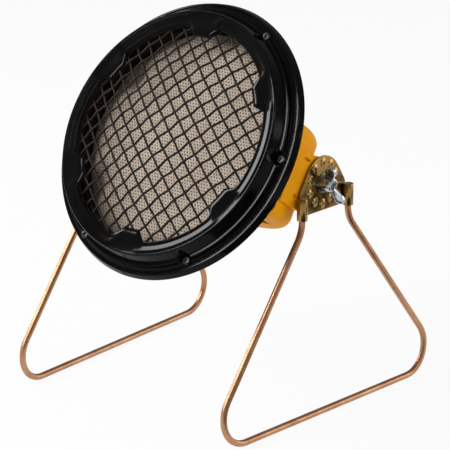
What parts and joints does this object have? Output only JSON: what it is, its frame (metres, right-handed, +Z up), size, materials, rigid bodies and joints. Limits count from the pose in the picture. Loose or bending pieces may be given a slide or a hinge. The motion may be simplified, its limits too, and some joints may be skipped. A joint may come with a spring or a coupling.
{
  "type": "portable gas heater",
  "caption": "Portable gas heater: round ceramic burner behind a domed wire guard in a black bezel, tilting between bent wire stands with wing screws.",
  "frame": {"origin": "on the floor under the tilt axis, midway between the two stands", "axes": "+Z up, -Y out of the front where the burner faces, +X to the right seen from the front"},
  "size_m": [0.1914, 0.1917, 0.2405],
  "materials": {
    "black_enamel": "gloss black stove enamel",
    "dark_wire": "heat-darkened woven wire",
    "dark_steel": "heat-darkened sheet steel",
    "tile": "matt porous ceramic",
    "fibre": "ceramic fibre felt",
    "steel": "plain sheet steel",
    "amber_plastic": "satin amber moulding",
    "brass": "machined brass",
    "yellow_zinc": "yellow-passivated zinc plate",
    "copper_wire": "copper-washed steel wire",
    "bright_zinc": "bright zinc plate",
    "black_plastic": "satin black moulding",
    "red_plastic": "red push button",
    "seal_rubber": "soft rubber",
    "lead_cover": "silicone sleeve",
    "glazed_white": "glazed white porcelain"
  },
  "bodies": {
    "head": {"front_bezel": "black_enamel", "bezel_screws": "dark_steel", "mesh_guard": "dark_wire", "guard_ring": "dark_steel", "burner_pan": "steel", "ceramic_plate": "tile", "plate_gasket": "fibre", "plate_retainer": "dark_steel", "baffle_plate": "steel", "mixing_tube": "steel", "gas_jet": "brass", "heat_shield": "steel", "shield_screws": "bright_zinc", "pan_spacers": "bright_zinc", "pan_screws": "bright_zinc", "pan_nuts": "bright_zinc", "housing_shell": "amber_plastic", "valve_body": "brass", "gland_nut": "brass", "cartridge_seal": "seal_rubber", "cartridge_pin": "brass", "cartridge_collar": "black_plastic", "collar_screws": "bright_zinc", "piezo_body": "black_plastic", "electrode_insulator": "glazed_white", "spark_electrode": "steel", "ignition_lead": "lead_cover", "pivot_insert_left": "brass", "pivot_insert_right": "brass"},
    "left_stand": {"bracket_left": "yellow_zinc", "stand_wire_left": "copper_wire"},
    "right_stand": {"bracket_right": "yellow_zinc", "stand_wire_right": "copper_wire"},
    "left_wing_screw": {"wing_screw_left": "bright_zinc", "pivot_washer_left": "bright_zinc"},
    "right_wing_screw": {"wing_screw_right": "bright_zinc", "pivot_washer_right": "bright_zinc"},
    "gas_knob": {"control_knob": "black_plastic", "valve_spindle": "brass", "spindle_seal": "seal_rubber", "knob_screw": "bright_zinc"},
    "igniter_button": {"piezo_button": "red_plastic"}
  },
  "joints": [
    {"name": "left_tilt", "type": "hinge", "parent": "head", "child": "left_stand", "pos_m": [-0.081, 0, 0.144], "axis": [1, 0, 0], "range_deg": [-27, 58]},
    {"name": "left_clamp_turn", "type": "hinge", "parent": "head", "child": "left_wing_screw", "pos_m": [-0.084, 0, 0.144], "axis": [1, 0, 0], "continuous": true},
    {"name": "right_tilt", "type": "hinge", "parent": "head", "child": "right_stand", "pos_m": [0.081, 0, 0.144], "axis": [1, 0, 0], "range_deg": [-27, 58]},
    {"name": "right_clamp_turn", "type": "hinge", "parent": "head", "child": "right_wing_screw", "pos_m": [0.084, 0, 0.144], "axis": [1, 0, 0], "continuous": true},
    {"name": "gas_turn", "type": "hinge", "parent": "head", "child": "gas_knob", "pos_m": [0, 0.02685, 0.16695], "axis": [0, 0.515, 0.8572], "range_deg": [0, 540]},
    {"name": "igniter_press", "type": "slide", "parent": "head", "child": "igniter_button", "axis": [0, -0.515, -0.8572], "range_m": [0, 0.005], "stiffness_N_per_m": 800, "springref_m": -0.004}
  ]
}
